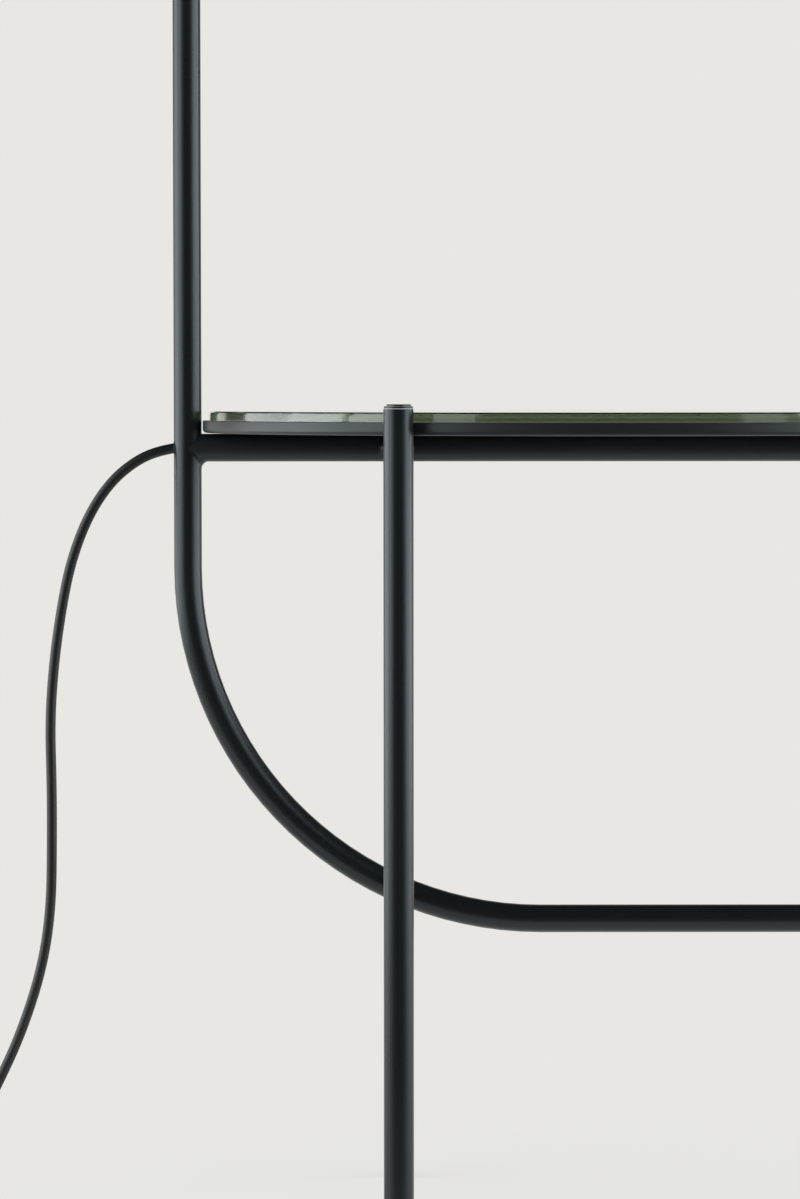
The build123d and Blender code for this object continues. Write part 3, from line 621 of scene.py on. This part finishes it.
rib_values = {
    "Ribs": relief_ribs,
    "Pitch": relief_pitch,
    "First radius": relief_end_radius,
    "Last radius": relief_root_radius,
    "Rib size": rib_size,
    "Finish": moulded_plug,
}
rib_mesh = grown_mesh("plug_relief_ribs", bpy.data.meshes.new("no_start"), rib_tree, rib_values)
rib_mesh.transform(Matrix.Translation(relief_start) @ Matrix.Rotation(-math.pi / 2, 4, "X"))
rib_mesh.materials.clear()
plug_relief_ribs = shown_piece(
    "plug_relief_ribs", rib_mesh, "frame", [moulded_plug]
)
dress(moulded_plug, "plug_body")
nickel = grained(
    "nickel_pins",
    (0.60, 0.59, 0.56),
    (0.72, 0.71, 0.68),
    0.22,
    0.34,
    2400.0,
    0.000008,
    Metallic=1.0,
)
dress(nickel, "plug_pins", "bulb_cap")

# Steel tubes of the frame, bent and welded, with a satin black powder coat over all, its
# reflections tinted blue as painted light colour. The bar under the table has a duller coat with a
# lighter base, which is painted light lifting the shade under the tray. The mast is in two lengths
# on a plain steel spigot, held by a grub screw.
# Blue tint of the coat's reflections: painted colour of the cool softbox light
painted_cool_light_tint = (0.84, 0.95, 1.0, 1.0)
powder_coat = grained(
    "powder_coat",
    (0.0055, 0.0064, 0.0069),
    (0.0088, 0.0102, 0.0110),
    0.24,
    0.33,
    1500.0,
    0.00003,
    Specular_Tint=painted_cool_light_tint,
)
# Duller coat for the bar and tray; its lighter base is painted light lifting the shade under the
# tray
dull_coat_painted_light = grained(
    "dull_coat_painted_light",
    (0.0108, 0.0122, 0.0129),
    (0.0162, 0.0182, 0.0191),
    0.30,
    0.40,
    1500.0,
    0.00003,
    Specular_Tint=painted_cool_light_tint,
    Specular_IOR_Level=0.40,
)
dress(dull_coat_painted_light, "table_bar")
dress(
    powder_coat,
    "mast_lower_tube",
    "mast_upper_tube",
    "front_upper_strut",
    "rear_upper_strut",
    "front_lower_strut",
    "rear_lower_strut",
    "front_leg",
    "rear_leg",
    "side_leg",
)
zinc = grained(
    "zinc_plate",
    (0.42, 0.43, 0.45),
    (0.56, 0.57, 0.58),
    0.28,
    0.46,
    3200.0,
    0.00001,
    Metallic=1.0,
)
dress(zinc, "mast_spigot", "spigot_grub_screw")

# Welds: a smoothed fillet of weld metal in the corner of each joint, coated with the tubes. It is
# widest in the open corners and dies out at the tubes' sides. Above the bar it stays low, to clear
# the tray.
tube_radius = 0.009
weld_sink = 0.00003
weld_steps = 96
weld_ripples = 34
weld_ripple_share = 0.04
weld_arc_steps = 6
low_weld = 0.0006
mast_weld = 0.0046
side_weld = 0.0030
leg_weld = 0.0026
bar_weld_right, bar_weld_left = 0.0022, 0.0044
bend_weld_ahead, bend_weld_behind = 0.0016, 0.0022


def add_weld(mesh, place, main, branch, size_ahead, size_behind):
    """A ring of weld where a branch tube meets a main one, sized for both ways along the main."""
    main = Vector(main).normalized()
    branch = Vector(branch)
    across = main.cross(branch)
    seat = tube_radius - weld_sink
    rings = []
    for step in range(weld_steps):
        angle = 2 * math.pi * step / weld_steps
        turn = math.cos(angle)
        branch_normal = turn * main + math.sin(angle) * across
        main_normal = math.sin(angle) * across + abs(turn) * branch
        size = size_ahead if turn > 0 else size_behind
        size *= 1 + weld_ripple_share * math.cos(weld_ripples * angle)
        centre = (seat + size) * (branch_normal + abs(turn) * branch)
        points = [seat * (branch_normal + abs(turn) * branch)]
        for part in range(weld_arc_steps + 1):
            share = part / weld_arc_steps
            towards = branch_normal * (1 - share) + main_normal * share
            points.append(centre - size * towards.normalized())
        rings.append([mesh.verts.new(Vector(place) + point) for point in points])
    joined_rings(mesh, rings)


bar_low, bar_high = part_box("table_bar")
rail_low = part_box("mast_lower_tube")[0]
leg_low, leg_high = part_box("front_leg")
strut_low, strut_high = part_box("front_lower_strut")
bar_level = (bar_low.z + bar_high.z) / 2
rail_level = rail_low.z + tube_radius
strut_level = (strut_low.z + strut_high.z) / 2
strut_x = (leg_low.x + leg_high.x) / 2
leg_y = (leg_low.y + leg_high.y) / 2
side_x = -2 * strut_x
up, right, back = (0, 0, 1), (1, 0, 0), (0, 1, 0)
left, front = (-1, 0, 0), (0, -1, 0)
bend_run = (0.9154, 0, -0.4026)
weld_mesh = bmesh.new()
add_weld(weld_mesh, (-side_x, 0, bar_level), up, right, low_weld, mast_weld)
add_weld(weld_mesh, (side_x, 0, bar_level), up, left, low_weld, side_weld)
add_weld(weld_mesh, (side_x, 0, rail_level), up, left, side_weld, side_weld)
for place_y, inward, outward in ((leg_y, back, front), (-leg_y, front, back)):
    leg_bar, leg_strut = (strut_x, place_y, bar_level), (strut_x, place_y, strut_level)
    bar_root, bend_root = (strut_x, 0, bar_level), (strut_x, 0, strut_level)
    add_weld(weld_mesh, leg_bar, up, inward, low_weld, leg_weld)
    add_weld(weld_mesh, leg_strut, up, inward, leg_weld, leg_weld)
    add_weld(weld_mesh, bar_root, right, outward, bar_weld_right, bar_weld_left)
    add_weld(weld_mesh, bend_root, bend_run, outward, bend_weld_ahead, bend_weld_behind)
finished_piece(
    "weld_fillets", weld_mesh, "frame", [powder_coat], ["weld_beads"], 60
)

# Leg caps of satin black plastic, pressed into the tubes' tops, each on a thin pale ring whose
# colour is a painted highlight along the tubes' tops. The feet are black rubber, pressed into the
# tubes' bottoms.
cap_plastic = grained(
    "cap_plastic", (0.004, 0.005, 0.006), (0.008, 0.009, 0.010), 0.26, 0.38, 2000.0, 0.00002
)
# Pale colour of the caps' rings: a painted highlight line at the tubes' tops
painted_highlight_ring = grained(
    "painted_highlight_ring", (0.76, 0.77, 0.76), (0.84, 0.85, 0.83), 0.35, 0.50, 2400.0, 0.00001
)
insert_radius = 0.0073
insert_depth = 0.004
ring_radius = 0.0089
ring_height = 0.0003
ring_seat = 0.00002
ring_side_start = 0.00006
ring_edge = 0.00005
ring_faces = range(2, 7)
cap_radius = 0.0086
cap_rounding = 0.0002
for leg in ("front_leg", "rear_leg", "side_leg"):
    tube_low, tube_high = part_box(leg)
    cap_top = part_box(leg + "_cap")[1].z - tube_high.z
    cap_corner = (cap_radius - cap_rounding, cap_top - cap_rounding)
    cap_outline = [
        (0, -insert_depth),
        (insert_radius, -insert_depth),
        (insert_radius, ring_seat),
        (ring_radius - ring_edge, ring_seat),
        (ring_radius, ring_side_start),
        (ring_radius, ring_height - ring_edge),
        (ring_radius - ring_edge, ring_height),
        (cap_radius, ring_height),
    ]
    cap_outline += arc(cap_corner, cap_rounding, 0, 90, 5)
    cap_outline.append((0, cap_top))
    cap_mesh = turned(cap_outline, 96, lambda index: 1 if index in ring_faces else 0)
    cap_place = ((tube_low.x + tube_high.x) / 2, (tube_low.y + tube_high.y) / 2, tube_high.z)
    bmesh.ops.translate(cap_mesh, verts=cap_mesh.verts, vec=cap_place)
    cap_finishes = [cap_plastic, painted_highlight_ring]
    finished_piece(leg + "_top", cap_mesh, "frame", cap_finishes, [leg + "_cap"])
dress(black_rubber, "front_foot", "rear_foot", "side_foot")

# Tray of pressed steel sheet, coated as the bar is, with the same painted light in its lighter
# base.
# It stands on nylon spacers and is held by button-head screws. Clear soft bumpers on its floor
# carry the glass.
tray_low, tray_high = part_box("tray")
tray_radius = tray_high.x
tray_sheet = 0.002
tray_bend = 0.0024
tray_inner_bend = 0.0008
tray_flat_radius = 0.2
rim_rounding = 0.0004
tray_inside = tray_radius - tray_sheet
tray_floor = tray_low.z + tray_sheet
rim_middle = tray_high.z - rim_rounding
bend_middle = (tray_radius - tray_bend, tray_low.z + tray_bend)
inner_bend_middle = (tray_inside - tray_inner_bend, tray_floor + tray_inner_bend)
tray_outline = [(0, tray_low.z), (tray_flat_radius, tray_low.z)]
tray_outline += arc(bend_middle, tray_bend, -90, 0, 16)
tray_outline += arc((tray_radius - rim_rounding, rim_middle), rim_rounding, 0, 90, 4)
tray_outline += arc((tray_inside + rim_rounding, rim_middle), rim_rounding, 90, 180, 4)
tray_outline += arc(inner_bend_middle, tray_inner_bend, 0, -90, 6)
tray_outline += [(tray_flat_radius, tray_floor), (0, tray_floor)]
tray_mesh = turned(tray_outline, 320)
finished_piece("tray_pan", tray_mesh, "frame", [dull_coat_painted_light], ["tray"], 50)
black_nylon = grained(
    "black_nylon", (0.012, 0.012, 0.012), (0.022, 0.022, 0.022), 0.4, 0.55, 2200.0, 0.00002
)
dress(black_nylon, "tray_spacers", "pivot_washers")
dress(zinc, "tray_screws")
clear_bumper = grained(
    "clear_bumper",
    (0.80, 0.82, 0.80),
    (0.88, 0.89, 0.88),
    0.24,
    0.40,
    700.0,
    0.00004,
    Transmission_Weight=0.75,
    IOR=1.48,
)
dress(clear_bumper, "glass_bumpers")

# Table top: a disc of clear float glass with ground and polished edges, loose on its bumpers.
# Light that runs along inside it comes out dark green at the edge.
glass_index = 1.52
most_haze = 0.035
ground_roughness = 0.14
polish_weight = 0.75
edge_start_depth, edge_full_depth = 0.0012, 0.0004
table_glass = bpy.data.materials.new("table_glass")
table_glass.use_nodes = True
tree = table_glass.node_tree
shader = tree.nodes["Principled BSDF"]
shader.inputs["Base Color"].default_value = (1.0, 1.0, 1.0, 1.0)
shader.inputs["Transmission Weight"].default_value = 1.0
shader.inputs["IOR"].default_value = glass_index
shader.inputs["Coat IOR"].default_value = glass_index
shader.inputs["Coat Roughness"].default_value = 0.0
coords = tree.nodes.new("ShaderNodeTexCoord").outputs
smears = tree.nodes.new("ShaderNodeTexNoise")
smears.inputs["Scale"].default_value = 14.0
smears.inputs["Detail"].default_value = 6.0
smear_haze = ramp_between(tree, smears.outputs["Fac"], 0.45, 0.75, 0.0, most_haze)
glass_low, glass_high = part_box("glass_top")
glass_radius = glass_high.x
flattened = tree.nodes.new("ShaderNodeVectorMath")
flattened.operation = "MULTIPLY"
flattened.inputs[1].default_value = (1, 1, 0)
from_axis = tree.nodes.new("ShaderNodeVectorMath")
from_axis.operation = "LENGTH"
axis_distance = from_axis.outputs["Value"]
edge_start, edge_full = glass_radius - edge_start_depth, glass_radius - edge_full_depth
edge_grind = ramp_between(tree, axis_distance, edge_start, edge_full, 0.0, ground_roughness)
edge_polish = ramp_between(tree, axis_distance, edge_start, edge_full, 0.0, polish_weight)
body_colour = tree.nodes.new("ShaderNodeVolumeAbsorption")
body_colour.inputs["Color"].default_value = (0.20, 0.32, 0.09, 1.0)
body_colour.inputs["Density"].default_value = 5.0
clear = tree.nodes.new("ShaderNodeBsdfTransparent")
clear.inputs["Color"].default_value = (0.93, 0.95, 0.93, 1.0)
lit_through = tree.nodes.new("ShaderNodeMixShader")
glass_out = tree.nodes["Material Output"].inputs
link(
    tree,
    (coords["Object"], smears.inputs["Vector"]),
    (coords["Object"], flattened.inputs[0]),
    (flattened.outputs[0], from_axis.inputs[0]),
    (math_node(tree, "ADD", edge_grind, smear_haze), shader.inputs["Roughness"]),
    (edge_polish, shader.inputs["Coat Weight"]),
    (tree.nodes.new("ShaderNodeLightPath").outputs["Is Shadow Ray"], lit_through.inputs[0]),
    (shader.outputs[0], lit_through.inputs[1]),
    (clear.outputs[0], lit_through.inputs[2]),
    (lit_through.outputs[0], glass_out["Surface"]),
    (body_colour.outputs[0], glass_out["Volume"]),
)
arris = 0.0008
under_arris = 1.8 * arris
bevel = 0.0011
bevel_inset = 0.0003
top_rise = 0.0004
crown_radius = 0.040
crown_steps = 10
top_face = glass_high.z + top_rise
glass_outline = [(0, glass_low.z), (glass_radius - under_arris, glass_low.z)]
crown_low, crown_high = glass_low.z + arris, top_face - arris - bevel
crown_middle = (crown_low + crown_high) / 2
for step in range(crown_steps + 1):
    height = crown_low + (crown_high - crown_low) * step / crown_steps
    crown = crown_radius - math.sqrt(crown_radius**2 - (height - crown_middle) ** 2)
    glass_outline.append((glass_radius - crown, height))
glass_outline.append((glass_radius - bevel_inset, top_face - arris))
glass_outline += [(glass_radius - bevel_inset - arris, top_face), (0, top_face)]
glass_mesh = turned(glass_outline, 360)
finished_piece("glass_disc", glass_mesh, "glass", [table_glass], ["glass_top"], 20)

# Tilting joint: a turned plug in the arm's end with a flat tongue, gripped by the head's fork
# between nylon washers on a zinc-plated bolt and nut
dress(powder_coat, "arm_plug", "head_fork")
dress(zinc, "pivot_bolt", "pivot_nut")

# Lamp head: a spun cup on a hollow nipple with its nut, and inside it a moulded lamp holder with a
# brass shell and contact, and the ring that clamps the shade
dress(powder_coat, "holder_cup")
dress(zinc, "head_nipple", "nipple_nut")
moulded_holder = grained(
    "moulded_holder", (0.012, 0.011, 0.010), (0.020, 0.019, 0.018), 0.22, 0.34, 1200.0, 0.00002
)
dress(moulded_holder, "lamp_holder", "shade_ring")
brass = grained(
    "plain_brass",
    (0.62, 0.46, 0.20),
    (0.78, 0.60, 0.30),
    0.24,
    0.42,
    1600.0,
    0.00001,
    Metallic=1.0,
)
dress(brass, "holder_shell", "holder_contact")

# Shade: spun from steel sheet with its rim rolled in, black powder coat outside and white enamel
# inside
shade_radius = 0.120
shade_sheet = 0.0012
shade_neck = 0.01955
shade_shoulder = 0.024
shade_top = 1.385
dome_level = 1.289
rim_level = 1.270
roll_radius = 0.0017
roll_degrees = 250
roll_steps = 18
steps_to_roll_bottom = 7
dome_steps = 40
dome_radius = shade_radius - shade_shoulder
dome_middle = (shade_shoulder, dome_level)
roll_middle = (shade_radius - roll_radius, rim_level + roll_radius)
shade_outside = [(shade_neck, shade_top)] + arc(dome_middle, dome_radius, 90, 0, dome_steps)
shade_roll = arc(roll_middle, roll_radius, 0, -roll_degrees, roll_steps)
shade_inside = arc(dome_middle, dome_radius - shade_sheet, 0, 90, dome_steps)
shade_inside.append((shade_neck, shade_top - shade_sheet))
shade_outline = shade_outside + shade_roll + shade_inside
roll_bottom = len(shade_outside) + steps_to_roll_bottom
shade_mesh = turned(shade_outline, 160, lambda index: 0 if index < roll_bottom else 1)
white_enamel = grained(
    "white_enamel", (0.74, 0.74, 0.72), (0.80, 0.80, 0.78), 0.26, 0.36, 900.0, 0.00002
)
shade_finishes = [powder_coat, white_enamel]
finished_piece("lamp_shade", shade_mesh, "head", shade_finishes, ["shade"], 50)

# Light bulb: a white moulded body with an opal diffuser over it
bulb_body_white = grained(
    "bulb_body_white", (0.72, 0.72, 0.71), (0.80, 0.80, 0.79), 0.3, 0.42, 1500.0, 0.00001
)
bulb_opal = grained(
    "bulb_opal",
    (0.80, 0.79, 0.75),
    (0.86, 0.85, 0.81),
    0.24,
    0.34,
    1100.0,
    0.00001,
    Subsurface_Weight=0.35,
    Subsurface_Scale=0.01,
)
dress(bulb_body_white, "bulb_body")
dress(bulb_opal, "bulb_globe")

# Dimmer: a turned shaft through a nut on the cup, with a black plastic knob. The knob has a ribbed
# grip and a white line that shows where it stands.
dress(zinc, "dimmer_shaft", "dimmer_nut")
dress(moulded_holder, "dimmer_body")
knob_place = (0.0, -0.0285, 1.423)
knob_radius = 0.009
grip_ribs = 42
grip_rib_size = 0.0005
grip_rib_length = 0.0084
grip_start = (0.0, 0.0, 0.0049)
mark_angle = math.radians(135.0)
mark_size = (0.0044, 0.0011, 0.0004)
mark_edge = 0.00012
mark_place = (0.0050, 0.0, 0.01125)
knob_tree, given, result = new_node_tree(
    "ribbed_grip",
    (
        ("Ribs", "NodeSocketInt"),
        ("Grip radius", "NodeSocketFloat"),
        ("Rib size", "NodeSocketFloat"),
        ("Rib length", "NodeSocketFloat"),
        ("Grip start", "NodeSocketVector"),
        ("Finish", "NodeSocketMaterial"),
    ),
)
grip_circle = knob_tree.nodes.new("GeometryNodeMeshCircle")
grip_rib = knob_tree.nodes.new("GeometryNodeMeshCylinder")
grip_rib.inputs["Vertices"].default_value = 8
grip_place = knob_tree.nodes.new("GeometryNodeInstanceOnPoints")
grip_shift = knob_tree.nodes.new("GeometryNodeTransform")
grip_join = knob_tree.nodes.new("GeometryNodeJoinGeometry")
link(
    knob_tree,
    (given["Ribs"], grip_circle.inputs["Vertices"]),
    (given["Grip radius"], grip_circle.inputs["Radius"]),
    (given["Rib size"], grip_rib.inputs["Radius"]),
    (given["Rib length"], grip_rib.inputs["Depth"]),
    (grip_circle.outputs[0], grip_place.inputs["Points"]),
    (grip_rib.outputs[0], grip_place.inputs["Instance"]),
    (grip_place.outputs[0], grip_shift.inputs["Geometry"]),
    (given["Grip start"], grip_shift.inputs["Translation"]),
    (given["Geometry"], grip_join.inputs[0]),
    (grip_shift.outputs[0], grip_join.inputs[0]),
)
closing_nodes(knob_tree, grip_join.outputs[0], given["Finish"], result)
knob_bore = 0.00305
knob_bore_depth = 0.009
knob_outline = [
    (knob_bore, knob_bore_depth),
    (knob_bore, 0.0),
    (0.0082, 0.0),
    (0.0085, 0.0003),
    (0.0085, 0.0094),
    (0.0087, 0.0096),
]
knob_outline += arc((0.0078, 0.0103), 0.0012, 0, 90, 6)
knob_outline += [(0.0060, 0.01145), (0.0040, 0.01130), (0.0005, 0.01125)]
knob_outline.append((0.0005, knob_bore_depth))
knob_core = turned(knob_outline, 84)
bmesh.ops.recalc_face_normals(knob_core, faces=knob_core.faces)
knob_start = bpy.data.meshes.new("knob_core")
knob_core.to_mesh(knob_start)
knob_core.free()
knob_values = {
    "Ribs": grip_ribs,
    "Grip radius": knob_radius - grip_rib_size,
    "Rib size": grip_rib_size,
    "Rib length": grip_rib_length,
    "Grip start": grip_start,
    "Finish": cap_plastic,
}
knob_mesh = grown_mesh("dimmer_grip", knob_start, knob_tree, knob_values)
knob_turn = Matrix.Translation(knob_place) @ Matrix.Rotation(math.pi / 2, 4, "X")
knob_mesh.transform(knob_turn)
knob_mesh.materials.clear()
shown_piece("dimmer_grip", knob_mesh, "knob", [cap_plastic], ["dimmer_knob"])
mark_paint = grained(
    "mark_paint", (0.70, 0.70, 0.68), (0.80, 0.80, 0.78), 0.4, 0.5, 2500.0, 0.00001
)
mark = bmesh.new()
bmesh.ops.create_cube(mark, size=1.0)
bmesh.ops.scale(mark, vec=mark_size, verts=mark.verts)
bevelled(mark, mark_edge)
bmesh.ops.translate(mark, vec=mark_place, verts=mark.verts)
mark_turn = Matrix.Rotation(-mark_angle, 4, "Z")
bmesh.ops.transform(mark, matrix=knob_turn @ mark_turn, verts=mark.verts)
finished_piece("dimmer_mark", mark, "knob", [mark_paint])
